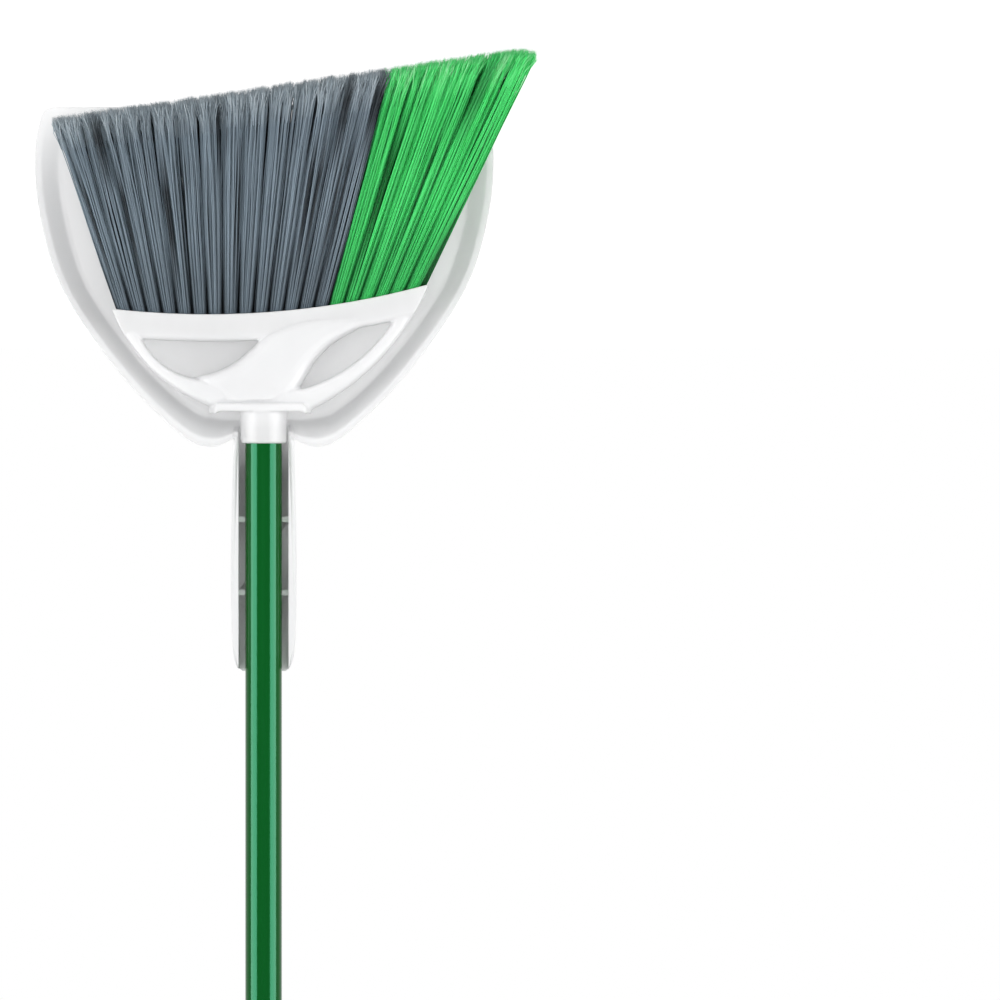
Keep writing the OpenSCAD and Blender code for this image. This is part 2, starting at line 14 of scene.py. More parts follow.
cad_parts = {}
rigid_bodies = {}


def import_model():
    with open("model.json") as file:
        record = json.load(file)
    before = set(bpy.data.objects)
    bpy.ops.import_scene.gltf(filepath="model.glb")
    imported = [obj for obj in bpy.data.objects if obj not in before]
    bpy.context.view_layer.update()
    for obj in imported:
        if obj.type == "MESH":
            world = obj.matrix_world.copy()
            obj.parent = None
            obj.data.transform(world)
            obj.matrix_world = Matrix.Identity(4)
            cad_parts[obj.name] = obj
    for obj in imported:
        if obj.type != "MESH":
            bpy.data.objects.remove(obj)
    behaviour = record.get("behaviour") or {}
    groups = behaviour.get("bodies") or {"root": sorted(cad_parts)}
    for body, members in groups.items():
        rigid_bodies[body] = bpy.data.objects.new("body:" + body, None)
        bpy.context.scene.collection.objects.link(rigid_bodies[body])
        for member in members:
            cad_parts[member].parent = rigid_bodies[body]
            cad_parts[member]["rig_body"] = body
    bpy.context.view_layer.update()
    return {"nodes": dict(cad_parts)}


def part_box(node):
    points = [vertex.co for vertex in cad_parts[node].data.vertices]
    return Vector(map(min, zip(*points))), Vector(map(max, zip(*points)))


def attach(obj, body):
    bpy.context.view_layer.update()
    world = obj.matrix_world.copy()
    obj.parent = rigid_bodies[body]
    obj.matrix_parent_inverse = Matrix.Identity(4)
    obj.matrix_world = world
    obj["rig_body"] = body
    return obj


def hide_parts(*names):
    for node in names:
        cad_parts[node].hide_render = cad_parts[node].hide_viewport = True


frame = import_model()
nodes = frame["nodes"]

MM = 0.001
SEED = 7

# Height of the socket's mouth, where the handle goes into the head
MOUTH_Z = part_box("broom_head")[1].z

# Camera: the photo's width in pixels, a pixel's length at the handle's axis, and the socket mouth's pixel
PHOTO_SIDE = 1000
PIXEL = 0.65 * MM
MOUTH_PIXEL = (263.6, 443.5)
CAMERA_DISTANCE = 8.0
SENSOR = 36.0

# Light: the world's level, and the height of the lamps at the sides
WORLD_LIGHT = 0.7
SIDE_Z = MOUTH_Z + 0.5

# The floor, and how far the broom hangs above it. Where it is seen, it gets brighter by FLOOR_GLOW from
# GLOW_FROM to GLOW_FULL away from the broom: it ends in the white around it and keeps the broom's shadow.
FLOOR_SIZE = 80.0
HANG = 0.3
FLOOR_GLOW = 0.5
GLOW_FROM = 1.0
GLOW_FULL = 5.0

# Most values of a noise pattern lie between these
NOISE_LOW = 0.3
NOISE_HIGH = 0.7
# The dustpan lets light through up to the first height, and is opaque from the second, where its channel is
THIN_TO = MOUTH_Z - 10 * MM
OPAQUE_FROM = MOUTH_Z + 20 * MM

# Mouldings
WELD = 0.005 * MM
SMOOTH_ANGLE = math.radians(35)
HEAD_VOXEL = 0.8 * MM
HEAD_KEEP = 0.35
CAP_VOXEL = 0.4 * MM
CAP_KEEP = 0.35
MOULD_SMOOTHING = 5

# Thread on the tip. Half a groove and one of its flanks are shares of the pitch.
THREAD_PITCH = 5.08 * MM
THREAD_DEPTH = 1.6 * MM
THREAD_RUN_OUT = 3 * MM
HALF_GROOVE = 0.35
FLANK = 0.15
THREAD_STEP = 0.4 * MM
THREAD_SIDES = 72

# Slices of a solid tuft in which its tips and its root are found
TIP_SLICE = 5 * MM
ROOT_SLICE = 10 * MM
# Filaments of a tuft, the tuft's radius at the root and its size at the tips
FILAMENTS = 100
FILAMENT_R = 0.36 * MM
FILAMENT_STEPS = 10
ROOT_R = 3.75 * MM
TIP_WIDTH = 17.5 * MM
TIP_DEPTH = 17.5 * MM
# Share of its flare that a tuft gets just past the root, and how soon, as a share of its length
ROOT_FLARE = 0.1
ROOT_FLARE_OVER = 0.04
# Turn in degrees that sets a flat side of a three-sided strand to the back, or to the front if negative
STRAND_TURN = 30
# Filaments are drawn by the share PULL towards locks, and towards clumps at the tips
LOCKS = 22
CLUMPS = 9
CLUMP_REACH = 0.85
PULL = 0.55
# How far filaments are out of place in the tuft and at their ends, as shares of its half width
SPOT_STRAY = 0.04
END_STRAY = 0.06
# Waves along a filament and their height, and how much shorter clumps and filaments are cut
FILAMENT_WAVES = (1.2, 2.6)
FILAMENT_SWAY = (0.15 * MM, 0.6 * MM)
CLUMP_CUT = 1.0 * MM
FILAMENT_CUT = 1.3 * MM
# The longest filaments reach TRIM past the solid tufts, and the tips stray at most TIP_STRAY past them in X
TRIM = 2 * MM
TIP_STRAY = 1.5 * MM
# Size of the rounded corner at the longest tips
CORNER = 16 * MM
CORNER_CUT = 4.5 * MM

# Split ends of a filament, from the share SPLIT of its length. They stray by FLAG_STRAY mm in X, Y and Z.
SPLIT = 0.84
FLAGS = 2
FLAG_R = 0.26 * MM
FLAG_STEPS = 4
FLAG_WAVES = (0.6, 1.8)
FLAG_CURL = (0.3 * MM, 1.0 * MM)
FLAG_STRAY = (2.5, 2.5, 1.4)

# Shares of a filament's length at which its brightness is set: roots, locks, clumps and ends
TONE_STOPS = (0.15, 0.4, 0.6, 0.82, 0.9, 0.98)
# Brightness of single filaments, locks and clumps. A share of the locks and clumps is painted shade: they are
# painted dark, at the gap brightness of locks and of each colour that follows, for the shadowed gaps between
# them.
SINGLE_TONE = (0.74, 1)
LOCK_TONE = (0.8, 1)
CLUMP_TONE = (0.84, 1)
SHADED_GAP_SHARE = 0.15
LOCK_GAP_SHADE = 0.1
GREY_GAP_SHADE = 0.08
GREEN_GAP_SHADE = 0.4
# Painted shade at the root: the filaments' brightness there, and the share of it that the tuft's sides lose
# so that the tuft looks round; and the least brightness at the ends, where the painted dark clumps are lifted
ROOT_TONE = 0.72
ROOT_SIDE_SHADE = 0.97
END_TONE = 0.45
# How much split ends differ, and the shares of the length and the brightness from which they are paler
FLAG_TONE_SPREAD = 0.2
PALE_ALONG = (0.82, 0.98)
PALE_FROM = 0.8
# Filaments past this share of the tuft's half depth are between the rows. They are painted dark, as painted
# shade, up to their split ends, and get brighter there over the share INSIDE_FADE of their length.
INSIDE_FROM = 0.3
INSIDE_SHADE_TONE = 0.05
INSIDE_FADE = 0.14
# Empty margin beside a strand in its column of the map
MAP_MARGIN = 0.08


# Materials

def new_material(name):
    """A node material, with its node tree and its surface shader."""
    material = bpy.data.materials.new(name)
    material.use_nodes = True
    tree = material.node_tree
    return material, tree, tree.nodes["Principled BSDF"]


def noise(tree, scale, detail=3.0, stretch=(1, 1, 1)):
    """A noise pattern in the object's own space, stretched along its axes."""
    place = tree.nodes.new("ShaderNodeTexCoord")
    mapping = tree.nodes.new("ShaderNodeMapping")
    mapping.inputs["Scale"].default_value = stretch
    pattern = tree.nodes.new("ShaderNodeTexNoise")
    pattern.inputs["Scale"].default_value = scale
    pattern.inputs["Detail"].default_value = detail
    tree.links.new(place.outputs["Object"], mapping.inputs["Vector"])
    tree.links.new(mapping.outputs["Vector"], pattern.inputs["Vector"])
    return pattern.outputs["Fac"]


def ramp(tree, value, stops):
    """Colours by value: stops are (position, colour) pairs."""
    node = tree.nodes.new("ShaderNodeValToRGB")
    elements = node.color_ramp.elements
    while len(elements) < len(stops):
        elements.new(0.5)
    for element, (position, colour) in zip(elements, stops):
        element.position = position
        element.color = (*colour, 1)
    tree.links.new(value, node.inputs["Fac"])
    return node.outputs["Color"]


def map_range(tree, value, start, end, low, high):
    """Maps a value's start and end to low and high."""
    node = tree.nodes.new("ShaderNodeMapRange")
    for name, number in (("From Min", start), ("From Max", end), ("To Min", low), ("To Max", high)):
        node.inputs[name].default_value = number
    tree.links.new(value, node.inputs["Value"])
    return node


def mottled(tree, shader, pattern, dark, light):
    """Gives a shader two close colours by a noise pattern."""
    colour = ramp(tree, pattern, [(NOISE_LOW, dark), (NOISE_HIGH, light)])
    tree.links.new(colour, shader.inputs["Base Color"])


def uneven_gloss(tree, shader, pattern, low, high):
    """Gives a shader a roughness from low to high by a noise pattern."""
    roughness = map_range(tree, pattern, NOISE_LOW, NOISE_HIGH, low, high)
    tree.links.new(roughness.outputs["Result"], shader.inputs["Roughness"])


def bump(tree, shader, height, strength, distance):
    """Fine relief on a shader."""
    node = tree.nodes.new("ShaderNodeBump")
    node.inputs["Strength"].default_value = strength
    node.inputs["Distance"].default_value = distance
    tree.links.new(height, node.inputs["Height"])
    tree.links.new(node.outputs["Normal"], shader.inputs["Normal"])


def white_plastic(name):
    """Moulded polypropylene: off-white, satin, with faint flow marks."""
    material, tree, shader = new_material(name)
    flow = noise(tree, 18, 4, (1, 1, 0.4))
    mottled(tree, shader, flow, (0.815, 0.818, 0.825), (0.845, 0.847, 0.853))
    uneven_gloss(tree, shader, noise(tree, 260, 2), 0.36, 0.48)
    shader.inputs["Specular IOR Level"].default_value = 0.25
    shader.inputs["Subsurface Weight"].default_value = 1
    shader.inputs["Subsurface Radius"].default_value = (1, 1, 1)
    shader.inputs["Subsurface Scale"].default_value = 7 * MM
    bump(tree, shader, noise(tree, 900, 2), 0.06, 0.2 * MM)
    return material


def pan_plastic():
    """The dustpan's plastic: its thin walls let light through, its channel doesn't."""
    material = white_plastic("pan_plastic")
    tree = material.node_tree
    place = tree.nodes.new("ShaderNodeTexCoord")
    split = tree.nodes.new("ShaderNodeSeparateXYZ")
    tree.links.new(place.outputs["Object"], split.inputs["Vector"])
    thin = map_range(tree, split.outputs["Z"], THIN_TO, OPAQUE_FROM, 1, 0)
    tree.links.new(thin.outputs["Result"], tree.nodes["Principled BSDF"].inputs["Subsurface Weight"])
    return material


def green_paint():
    """Gloss paint on the steel tube, drawn out along its length."""
    material, tree, shader = new_material("green_paint")
    streaks = noise(tree, 160, 3, (1, 1, 0.02))
    mottled(tree, shader, streaks, (0.0, 0.074, 0.0034), (0.0, 0.09, 0.005))
    uneven_gloss(tree, shader, noise(tree, 90, 2, (1, 1, 0.1)), 0.1, 0.15)
    shader.inputs["Specular IOR Level"].default_value = 0.25
    shader.inputs["Specular Tint"].default_value = (0.24, 1, 0.66, 1)
    bump(tree, shader, noise(tree, 250, 2), 0.03, 0.2 * MM)
    return material


def green_plastic():
    """The moulded cap in the handle's green."""
    material, tree, shader = new_material("green_plastic")
    mottled(tree, shader, noise(tree, 40, 4), (0.002, 0.1, 0.024), (0.004, 0.135, 0.034))
    uneven_gloss(tree, shader, noise(tree, 400, 2), 0.34, 0.46)
    shader.inputs["Specular IOR Level"].default_value = 0.15
    bump(tree, shader, noise(tree, 1200, 2), 0.1, 0.2 * MM)
    return material


def steel_wire():
    """Drawn flat wire of the staples."""
    material, tree, shader = new_material("steel_wire")
    mottled(tree, shader, noise(tree, 900, 3, (1, 0.1, 1)), (0.45, 0.46, 0.47), (0.6, 0.61, 0.62))
    uneven_gloss(tree, shader, noise(tree, 1500, 2), 0.25, 0.4)
    shader.inputs["Metallic"].default_value = 1
    return material


def point_value(tree, name):
    """A number that is stored at the mesh's points."""
    node = tree.nodes.new("ShaderNodeAttribute")
    node.attribute_name = name
    return node.outputs["Fac"]


def bristle(name, dark, middle, tip, pale, sheen):
    """Polyester filament: its own tone in each strand, with painted shade in that tone at the root, between
    the rows and in the gaps, paler where the ends are split.
    """
    material, tree, shader = new_material(name)
    tone = point_value(tree, "tone")
    strand = ramp(tree, tone, [(0, dark), (1, middle)])
    split_end = ramp(tree, tone, [(0, dark), (PALE_FROM, tip), (1, pale)])
    paler = ramp(tree, point_value(tree, "along"), list(zip(PALE_ALONG, ((0, 0, 0), (1, 1, 1)))))
    mix = tree.nodes.new("ShaderNodeMix")
    mix.data_type = "RGBA"
    tree.links.new(paler, mix.inputs["Factor"])
    tree.links.new(strand, mix.inputs["A"])
    tree.links.new(split_end, mix.inputs["B"])
    tree.links.new(mix.outputs["Result"], shader.inputs["Base Color"])
    uneven_gloss(tree, shader, noise(tree, 300, 2), 0.5, 0.65)
    shader.inputs["Specular IOR Level"].default_value = 0.08
    shader.inputs["Sheen Weight"].default_value = sheen
    shader.inputs["Sheen Tint"].default_value = (*tip, 1)
    return material


WHITE = white_plastic("white_plastic")
PAN_WHITE = pan_plastic()
PAINT = green_paint()
CAP_GREEN = green_plastic()
STEEL = steel_wire()
GREY_BRISTLE = bristle(
    "grey_bristle",
    dark=(0.005, 0.007, 0.009),
    middle=(0.27, 0.345, 0.41),
    tip=(0.38, 0.45, 0.5),
    pale=(0.6, 0.67, 0.71),
    sheen=0,
)
GREEN_BRISTLE = bristle(
    "green_bristle",
    dark=(0.0, 0.04, 0.006),
    middle=(0.1, 0.98, 0.24),
    tip=(0.12, 1.0, 0.27),
    pale=(0.42, 1.0, 0.52),
    sheen=0.4,
)
# Slot, material and brightness of the painted shade of the gaps, for tufts of each colour
TUFT_LOOKS = {
    "grey": ("grey_bristle", GREY_BRISTLE, GREY_GAP_SHADE),
    "green": ("green_bristle", GREEN_BRISTLE, GREEN_GAP_SHADE),
}


# Pieces

def dress(node, material):
    """Gives a CAD node its finish."""
    mesh = nodes[node].data
    mesh.materials.clear()
    mesh.materials.append(material)


def stand_for(piece, node, material):
    """Puts a finished piece in a node's place, on the node's body."""
    piece.data.materials.clear()
    piece.data.materials.append(material)
    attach(piece, nodes[node]["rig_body"])
    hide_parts(node)


def linked(name, data):
    """A new object in the scene."""
    piece = bpy.data.objects.new(name, data)
    bpy.context.scene.collection.objects.link(piece)
    return piece


def welded_copy(node, name):
    """A node's mesh as a new piece, with its corners welded."""
    shape = bmesh.new()
    shape.from_mesh(nodes[node].data)
    bmesh.ops.remove_doubles(shape, verts=shape.verts, dist=WELD)
    mesh = bpy.data.meshes.new(name)
    shape.to_mesh(mesh)
    shape.free()
    return linked(name, mesh)


def apply_modifiers(piece):
    """Makes the modifiers' result the piece's own mesh."""
    graph = bpy.context.evaluated_depsgraph_get()
    mesh = bpy.data.meshes.new_from_object(piece.evaluated_get(graph))
    piece.modifiers.clear()
    piece.data = mesh
    mesh.name = piece.name


def moulded(node, name, voxel, keep, material):
    """A node as one moulding: its parts run into each other with small fillets, and its edges are rounded."""
    piece = welded_copy(node, name)
    remesh = piece.modifiers.new("one_skin", "REMESH")
    remesh.mode = "VOXEL"
    remesh.voxel_size = voxel
    smooth = piece.modifiers.new("fillets", "SMOOTH")
    smooth.factor = 0.5
    smooth.iterations = MOULD_SMOOTHING
    thin = piece.modifiers.new("fewer_faces", "DECIMATE")
    thin.ratio = keep
    apply_modifiers(piece)
    piece.data.shade_smooth()
    stand_for(piece, node, material)


def smooth_pan():
    """The dustpan with its curved walls smooth and its real edges sharp."""
    piece = welded_copy("dustpan", "dustpan_moulding")
    piece.data.shade_smooth()
    piece.data.set_sharp_from_angle(angle=SMOOTH_ANGLE)
    stand_for(piece, "dustpan", PAN_WHITE)


def turned_outline(node):
    """Heights and radii up the outside of a node that was turned round Z, from its solid's corners."""
    points = np.array([v.co for v in nodes[node].data.vertices], float).reshape(-1, 3)
    corners = {(round(z, 5), round(math.hypot(x, y), 5)) for x, y, z in points}
    outline = []
    for height in sorted({z for z, r in corners}):
        last = outline[-1][1] if outline else 0
        radii = [r for z, r in corners if z == height and r > MM]
        outline += [(height, r) for r in sorted(radii, key=lambda r: abs(r - last))]
    return outline


def thread_cut(height, low, high, turn):
    """How deep the thread is cut at a height on the stub, round its turn. It runs out towards both ends."""
    place = ((height - low) / THREAD_PITCH - turn / (2 * math.pi)) % 1
    groove = np.clip((HALF_GROOVE - np.abs(place - 0.5)) / FLANK, 0, 1)
    run_out = min(height - low, high - height, THREAD_RUN_OUT) / THREAD_RUN_OUT
    return THREAD_DEPTH * run_out * groove


def threaded_tip():
    """The tip, turned to its solid's outline, with a thread cut round its stub."""
    outline = turned_outline("thread_tip")
    start = next(k for k in range(len(outline)) if outline[k][1] == outline[k + 1][1])
    low, high = outline[start][0], outline[start + 1][0]
    stub = [(z, outline[start][1]) for z in np.arange(low + THREAD_STEP, high, THREAD_STEP)]
    turn = np.linspace(0, 2 * math.pi, THREAD_SIDES, endpoint=False)
    points = [(0, 0, outline[0][0])]
    for height, radius in outline[:start + 1] + stub + outline[start + 1:]:
        cut = thread_cut(height, low, high, turn) if low < height < high else np.zeros(THREAD_SIDES)
        points += [(r * math.cos(a), r * math.sin(a), height) for r, a in zip(radius - cut, turn)]
    points.append((0, 0, outline[-1][0]))
    rings = (len(points) - 2) // THREAD_SIDES
    faces = []
    for side in range(THREAD_SIDES):
        a, b = 1 + side, 1 + (side + 1) % THREAD_SIDES
        faces.append((0, b, a))
        for ring in range(rings - 1):
            step = ring * THREAD_SIDES
            faces.append((a + step, b + step, b + step + THREAD_SIDES, a + step + THREAD_SIDES))
        end = (rings - 1) * THREAD_SIDES
        faces.append((a + end, b + end, len(points) - 1))
    mesh = bpy.data.meshes.new("threaded_tip")
    mesh.from_pydata(points, [], faces)
    mesh.shade_smooth()
    mesh.set_sharp_from_angle(angle=SMOOTH_ANGLE)
    stand_for(linked("threaded_tip", mesh), "thread_tip", WHITE)


def tuft_ends(node):
    """The middle of a tuft's root and of its tips, from its solid."""
    points = np.array([v.co for v in nodes[node].data.vertices], float).reshape(-1, 3)
    low, high = points[:, 2].min(), points[:, 2].max()
    tips = points[points[:, 2] < low + TIP_SLICE]
    roots = points[points[:, 2] > high - ROOT_SLICE]
    return (roots.min(0) + roots.max(0)) / 2, (tips.min(0) + tips.max(0)) / 2


def disc_spots(count, random):
    """Evenly spread spots in a unit disc, each a little out of place."""
    order = np.arange(count)
    radius = np.sqrt((order + 0.5) / count)
    angle = order * math.pi * (3 - math.sqrt(5))
    spots = np.stack([radius * np.cos(angle), radius * np.sin(angle)], 1)
    return spots + random.normal(0, SPOT_STRAY, spots.shape)


def strand_faces(rings):
    """Faces of one three-sided strand: a closed root, its rings and a pointed tip."""
    faces = [(0, 1, 2)]
    for ring in range(rings - 1):
        for side in range(3):
            a = 3 * ring + side
            b = 3 * ring + (side + 1) % 3
            faces.append((a, a + 3, b + 3, b))
    last = 3 * (rings - 1)
    for side in range(3):
        faces.append((last + side, 3 * rings, last + (side + 1) % 3))
    return faces


def strand_map(places):
    """Places on a strand's map, across it and along it, for the corners of its faces in turn."""
    rings = len(places) - 1
    corners = [(0, places[0]), (1, places[0]), (0.5, places[1])]
    for ring in range(rings - 1):
        low, high = places[ring], places[ring + 1]
        corners += 3 * [(0, low), (0, high), (1, high), (1, low)]
    corners += 3 * [(0, places[-2]), (0.5, places[-1]), (1, places[-2])]
    return np.array(corners)


def strand_points(paths, radius, turn):
    """Corners of strands along paths, each an array of points. The last point is the tip."""
    corners = [
        radius * np.array([math.cos(a), math.sin(a), 0])
        for a in (math.radians(120 * side + turn) for side in range(3))
    ]
    rings = paths[:, :-1, None, :] + np.array(corners)[None, None, :, :]
    count, steps = paths.shape[:2]
    flat = rings.reshape(count, 3 * (steps - 1), 3)
    return np.concatenate([flat, paths[:, -1:, :]], 1)


def folded_back(values, low, high):
    """Values that run past a limit turn back inside it."""
    values = np.where(values > high, 2 * high - values, values)
    return np.where(values < low, 2 * low - values, values)


def waves(random, count, turns, height, share):
    """Sideways sway in X and Y of strands, along their shares."""
    start = random.uniform(0, 2 * math.pi, (count, 1, 2))
    turns = random.uniform(*turns, (count, 1, 2))
    height = random.uniform(*height, (count, 1, 2))
    return height * np.sin(start + 2 * math.pi * turns * share[None, :, None])


def closest(spots, centres):
    """The number of the centre nearest to each spot."""
    return np.linalg.norm(spots[:, None, :] - centres[None, :, :], axis=2).argmin(1)


def filament_paths(root, tip, slope, spots, locks, clumps, clump, random):
    """Paths of a tuft's filaments out of the hole, drawn together in locks, and in clumps at the tips."""
    share = np.linspace(0, 1, FILAMENT_STEPS + 1)
    ends = spots + (clumps[clump] - spots) * PULL + random.normal(0, END_STRAY, spots.shape)
    drift = (share ** 3)[None, :, None]
    gathered = spots + (locks - spots) * PULL
    gather = np.sin(math.pi * share ** 0.7)[None, :, None]
    loose = spots[:, None, :] + (gathered - spots)[:, None, :] * gather
    places = loose * (1 - drift) + ends[:, None, :] * drift
    flare = ROOT_FLARE * (1 - np.exp(-share / ROOT_FLARE_OVER)) + (1 - ROOT_FLARE) * share
    axis = (tip - root) / np.linalg.norm(tip - root)
    across = np.array([-axis[2], 0, axis[0]])
    level = np.array([1, 0, slope])
    way = across[None, :] * (1 - share[:, None]) + level[None, :] * share[:, None]
    half_width = ROOT_R + (TIP_WIDTH / 2 - ROOT_R) * flare
    half_depth = ROOT_R + (TIP_DEPTH / 2 - ROOT_R) * flare
    paths = (root + (tip - root) * share[:, None])[None, :, :]
    paths = paths + (places[:, :, :1] * half_width[None, :, None]) * way[None, :, :]
    paths[:, :, 1] += places[:, :, 1] * half_depth[None, :]
    sway = waves(random, FILAMENTS, FILAMENT_WAVES, FILAMENT_SWAY, share)
    paths[:, :, :2] += sway * share[None, :, None]
    clump_cut = np.abs(random.normal(0, CLUMP_CUT, CLUMPS))[clump]
    cut = clump_cut + np.abs(random.normal(0, FILAMENT_CUT, FILAMENTS)) - TRIM
    paths[:, :, 2] += cut[:, None] * drift[:, :, 0]
    return paths


def round_corner(paths, corner):
    """Trims the tips off near the corner at the low end of X, along a curve."""
    near = np.clip(1 - (paths[:, -1, 0] - corner) / CORNER, 0, 1)
    share = np.linspace(0, 1, paths.shape[1])
    paths[:, :, 2] += (CORNER_CUT * near ** 2)[:, None] * (share ** 2)[None, :]


def flag_paths(paths, random):
    """The split ends of filaments: each leaves its filament near the tip and strays from it."""
    whole = np.repeat(paths, FLAGS, 0)
    count = len(whole)
    share = np.linspace(0, 1, FLAG_STEPS + 1)
    first = whole[:, -1, :] + (whole[:, 0, :] - whole[:, -1, :]) * (1 - SPLIT)
    last = whole[:, -1, :]
    stray = random.normal(0, 1, (count, 3)) * np.array(FLAG_STRAY) * MM
    stray[:, 2] = np.abs(stray[:, 2])
    straight = first[:, None, :] + (last - first)[:, None, :] * share[None, :, None]
    curl = waves(random, count, FLAG_WAVES, FLAG_CURL, share) * share[None, :, None]
    bent = straight + stray[:, None, :] * (share ** 1.6)[None, :, None]
    bent[:, :, :2] += curl
    return bent


def fill_mesh(mesh, parts, turn):
    """Fills a mesh with strands. A part is paths, radius, map columns, tones, and first and last share."""
    points, faces, maps, tones, places = [], [], [], [], []
    first = 0
    for paths, radius, columns, tone, low, high in parts:
        count, steps = paths.shape[:2]
        corner_count = 3 * (steps - 1) + 1
        points.append(strand_points(paths, radius, turn).reshape(-1, 3))
        pattern = strand_faces(steps - 1)
        for strand in range(count):
            offset = first + strand * corner_count
            faces.extend(tuple(offset + corner for corner in face) for face in pattern)
        levels = np.linspace(low, high, steps)
        spots = np.tile(strand_map(levels)[None, :, :], (count, 1, 1))
        across = MAP_MARGIN + (1 - 2 * MAP_MARGIN) * spots[:, :, 0]
        spots[:, :, 0] = (columns[:, None] + across) / FILAMENTS
        maps.append(spots.reshape(-1, 2))
        tones.append(np.repeat(tone, 3, axis=1)[:, :corner_count].ravel())
        places.append(np.tile(np.repeat(levels, 3)[:corner_count], count))
        first += count * corner_count
    mesh.from_pydata(np.concatenate(points).tolist(), [], faces)
    for name, values in (("tone", tones), ("along", places)):
        attribute = mesh.attributes.new(name, "FLOAT", "POINT")
        attribute.data.foreach_set("value", np.concatenate(values).astype(np.float32))
    bake_map = mesh.uv_layers.new(name="OFBake")
    bake_map.uv.foreach_set("vector", np.concatenate(maps).astype(np.float32).ravel())
    mesh.shade_smooth()


def group_tones(count, gap_shade, tones, random):
    """Brightness of locks or clumps, some of which are painted dark as painted shade of the gaps between
    them.
    """
    # Painted shade: these locks or clumps are dark for the shadowed gaps between them
    dark = random.uniform(0, 1, count) < SHADED_GAP_SHARE
    return np.where(dark, gap_shade, random.uniform(*tones, count))


def strand_levels(spots, lock, clump, gap_shade, random):
    """Brightness of a tuft's filaments at TONE_STOPS, with painted shade: darker at the root and darker still
    at the tuft's sides there, so that the tuft looks round, and dark locks and clumps for the shaded gaps
    between them.
    """
    single = random.uniform(*SINGLE_TONE, FILAMENTS)
    lock_tone = group_tones(LOCKS, LOCK_GAP_SHADE, LOCK_TONE, random)
    clump_tone = group_tones(CLUMPS, gap_shade, CLUMP_TONE, random)
    # Painted shade: darker root, darker again towards the tuft's sides
    root = ROOT_TONE * single * (1 - ROOT_SIDE_SHADE * np.abs(np.clip(spots[:, 0], -1, 1)) ** 3)
    middle = lock_tone[lock] * single
    clumped = clump_tone[clump] * single
    ends = (END_TONE + (1 - END_TONE) * clump_tone[clump]) * single
    return [root, middle, middle, clumped, clumped, ends]


def depth_shade(share):
    """Painted shade of the filaments between the rows along their length: dark, and lighter at their ends,
    where they catch the light.
    """
    return INSIDE_SHADE_TONE + (1 - INSIDE_SHADE_TONE) * np.clip((share - SPLIT) / INSIDE_FADE, 0, 1) ** 1.3


def tone_along(share, levels, shaded_inside):
    """Brightness of filaments at shares of their length. Those on the inside get painted shade."""
    tone = np.zeros((len(shaded_inside), len(share)))
    for level, part in zip(levels, np.eye(len(TONE_STOPS))):
        tone += level[:, None] * np.interp(share, TONE_STOPS, part)[None, :]
    tone[shaded_inside] *= depth_shade(share)
    return tone


def bristle_tuft(node, slope, reach, random):
    """A tuft of fine crimped filaments with split ends, in place of its solid."""
    slot, material, gap_shade = TUFT_LOOKS[node.split("_")[0]]
    root, tip = tuft_ends(node)
    to_back = 1 if root[1] < 0 else -1
    spots = disc_spots(FILAMENTS, random)
    locks = disc_spots(LOCKS, random)
    lock = closest(spots, locks)
    clumps = random.uniform(-CLUMP_REACH, CLUMP_REACH, (CLUMPS, 2))
    clump = closest(spots, clumps)
    paths = filament_paths(root, tip, slope, spots, locks[lock], clumps, clump, random)
    flags = flag_paths(paths, random)
    for part in (paths, flags):
        part[:, :, 0] = folded_back(part[:, :, 0], *reach)
        round_corner(part, reach[0])
    levels = strand_levels(spots, lock, clump, gap_shade, random)
    # Filaments between the rows, which get painted shade
    shaded_inside = spots[:, 1] * to_back > INSIDE_FROM
    tone = tone_along(np.linspace(0, 1, FILAMENT_STEPS + 1), levels, shaded_inside)
    flag_tone = np.repeat(tone_along(np.linspace(SPLIT, 1, FLAG_STEPS + 1), levels, shaded_inside), FLAGS, 0)
    differ = random.normal(1, FLAG_TONE_SPREAD, (FLAGS * FILAMENTS, 1))
    flag_tone = np.clip(flag_tone * differ, 0, 1)
    columns = np.arange(FILAMENTS)
    mesh = bpy.data.meshes.new("bristles_" + node)
    parts = [
        (paths, FILAMENT_R, columns, tone, 0, 1),
        (flags, FLAG_R, np.repeat(columns, FLAGS), flag_tone, SPLIT, 1),
    ]
    fill_mesh(mesh, parts, -STRAND_TURN * to_back)
    stand_for(linked("bristles_" + node, mesh), node, material)


def bristles():
    """All the tufts, trimmed along one sloping line."""
    tufts = sorted(name for name in nodes if "_tuft_" in name)
    first = tuft_ends("grey_tuft_front_01")[1]
    last = tuft_ends("green_tuft_front_06")[1]
    slope = (last[2] - first[2]) / (last[0] - first[0])
    boxes = [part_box(name) for name in tufts]
    reach = (min(box[0].x for box in boxes) - TIP_STRAY, max(box[1].x for box in boxes) + TIP_STRAY)
    for number, node in enumerate(tufts):
        bristle_tuft(node, slope, reach, np.random.default_rng(SEED + number))


dress("handle_tube", PAINT)
dress("tuft_staples", STEEL)
moulded("broom_head", "head_moulding", HEAD_VOXEL, HEAD_KEEP, WHITE)
moulded("hanger_cap", "cap_moulding", CAP_VOXEL, CAP_KEEP, CAP_GREEN)
smooth_pan()
threaded_tip()
bristles()


# Camera and light

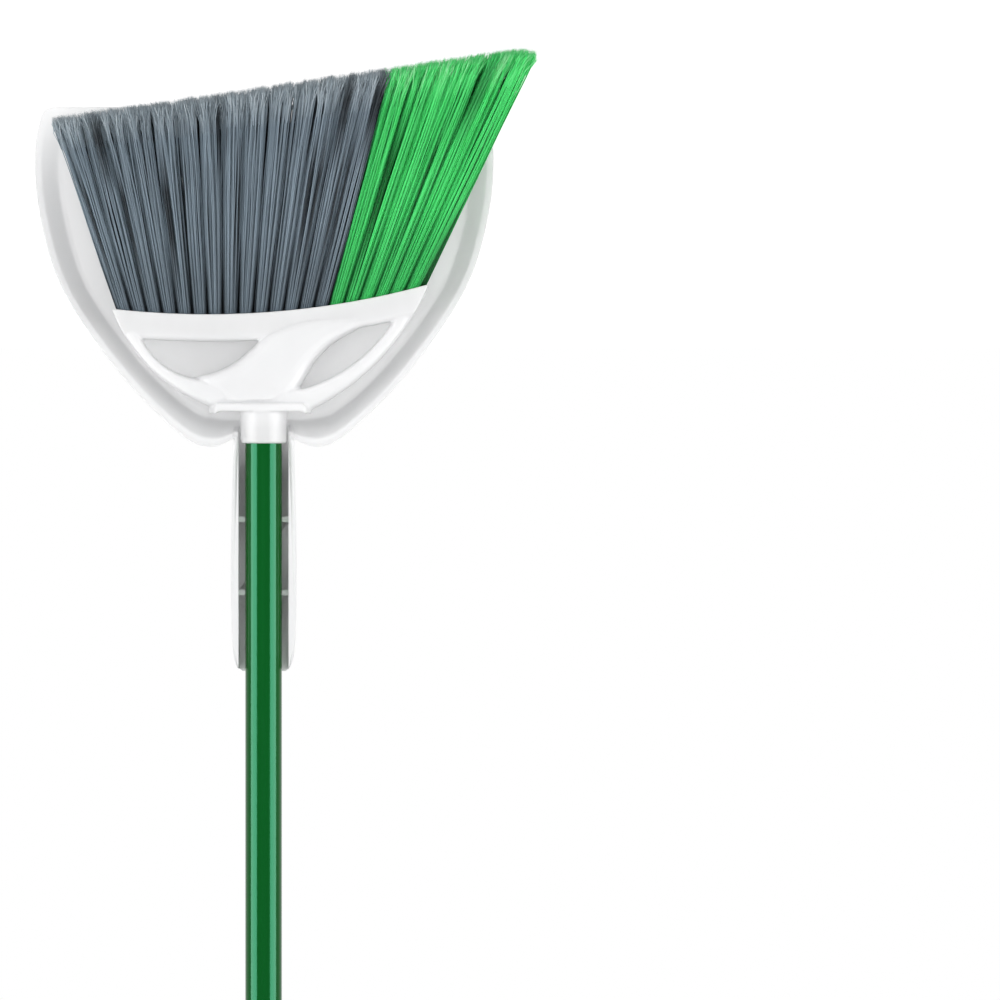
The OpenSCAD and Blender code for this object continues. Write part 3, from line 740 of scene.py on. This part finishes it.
def photo_camera():
    """Looks along +Y, turned so that the bristles are at the top of the picture."""
    lens = bpy.data.cameras.new("photo_camera")
    lens.sensor_width = SENSOR
    lens.lens = SENSOR * CAMERA_DISTANCE / (PHOTO_SIDE * PIXEL)
    lens.clip_end = 100
    camera = linked("photo_camera", lens)
    right = Vector((-1, 0, 0))
    up = Vector((0, 0, -1))
    back = Vector((0, -1, 0))
    turn = Matrix((right, up, back)).transposed().to_4x4()
    centre_x = (MOUTH_PIXEL[0] - PHOTO_SIDE / 2) * PIXEL
    centre_z = MOUTH_Z + (PHOTO_SIDE / 2 - MOUTH_PIXEL[1]) * PIXEL
    camera.matrix_world = Matrix.Translation((centre_x, -CAMERA_DISTANCE, centre_z)) @ turn
    bpy.context.scene.camera = camera


def seen_directly(tree):
    """1 where the camera, a reflection or a clear surface looks straight at this."""
    path = tree.nodes.new("ShaderNodeLightPath")
    total = path.outputs["Is Camera Ray"]
    for name in ("Is Glossy Ray", "Is Transmission Ray"):
        larger = tree.nodes.new("ShaderNodeMath")
        larger.operation = "MAXIMUM"
        tree.links.new(total, larger.inputs[0])
        tree.links.new(path.outputs[name], larger.inputs[1])
        total = larger.outputs["Value"]
    return total


def studio_world(level):
    """White where it is seen, and an even soft light of a given level on the object."""
    world = bpy.data.worlds.new("studio")
    world.use_nodes = True
    tree = world.node_tree
    background = tree.nodes["Background"]
    background.inputs["Color"].default_value = (1, 1, 1, 1)
    strength = map_range(tree, seen_directly(tree), 0, 1, level, 1)
    tree.links.new(strength.outputs["Result"], background.inputs["Strength"])
    bpy.context.scene.world = world


def floor(height):
    """A plain pale floor below the broom, which hangs by its eye. It keeps the broom's shadow."""
    shape = bmesh.new()
    bmesh.ops.create_grid(shape, x_segments=1, y_segments=1, size=FLOOR_SIZE / 2)
    mesh = bpy.data.meshes.new("floor")
    shape.to_mesh(mesh)
    shape.free()
    material, tree, shader = new_material("floor_paint")
    mottled(tree, shader, noise(tree, 2, 2), (0.88, 0.88, 0.88), (0.9, 0.9, 0.9))
    shader.inputs["Roughness"].default_value = 0.9
    shader.inputs["Specular IOR Level"].default_value = 0
    shader.inputs["Emission Color"].default_value = (1, 1, 1, 1)
    place = tree.nodes.new("ShaderNodeTexCoord")
    distance = tree.nodes.new("ShaderNodeVectorMath")
    distance.operation = "LENGTH"
    tree.links.new(place.outputs["Object"], distance.inputs[0])
    far = map_range(tree, distance.outputs["Value"], GLOW_FROM, GLOW_FULL, 0, FLOOR_GLOW)
    far.interpolation_type = "SMOOTHSTEP"
    glow = tree.nodes.new("ShaderNodeMath")
    glow.operation = "MULTIPLY"
    tree.links.new(far.outputs["Result"], glow.inputs[0])
    tree.links.new(seen_directly(tree), glow.inputs[1])
    tree.links.new(glow.outputs["Value"], shader.inputs["Emission Strength"])
    mesh.materials.append(material)
    piece = linked("floor", mesh)
    piece.location.z = height


def softbox(name, place, target, size, level, gloss):
    """An area lamp whose face has a given brightness, aimed at a point. It gives gloss or soft light."""
    lamp = bpy.data.lights.new(name, "AREA")
    lamp.shape = "RECTANGLE"
    lamp.size, lamp.size_y = size
    lamp.energy = level * math.pi * size[0] * size[1]
    piece = linked(name, lamp)
    piece.location = place
    piece.rotation_mode = "QUATERNION"
    piece.rotation_quaternion = (Vector(target) - Vector(place)).to_track_quat("-Z", "Y")
    piece.visible_diffuse = not gloss
    piece.visible_glossy = gloss


photo_camera()
studio_world(WORLD_LIGHT)
floor(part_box("green_tuft_front_06")[0].z - HANG)
for side, name in ((-1, "left_softbox"), (1, "right_softbox")):
    softbox(name, (side * 1.8, -0.88, SIDE_Z), (0, 0, SIDE_Z), size=(1.6, 2.1), level=13, gloss=True)
    softbox(
        name + "_fill", (side * 4.2, -4.4, SIDE_Z), (0, 0, SIDE_Z), size=(3.0, 2.1), level=1.8, gloss=False
    )
AIM = (0, 0, MOUTH_Z)
softbox("front_softbox", (0.0, -6.0, MOUTH_Z + 0.1), AIM, size=(3.0, 1.3), level=6.2, gloss=False)
softbox("back_softbox", (0.0, 5.2, MOUTH_Z + 2.6), AIM, size=(3.0, 3.0), level=5.3, gloss=False)
bpy.context.scene.view_settings.view_transform = "Standard"
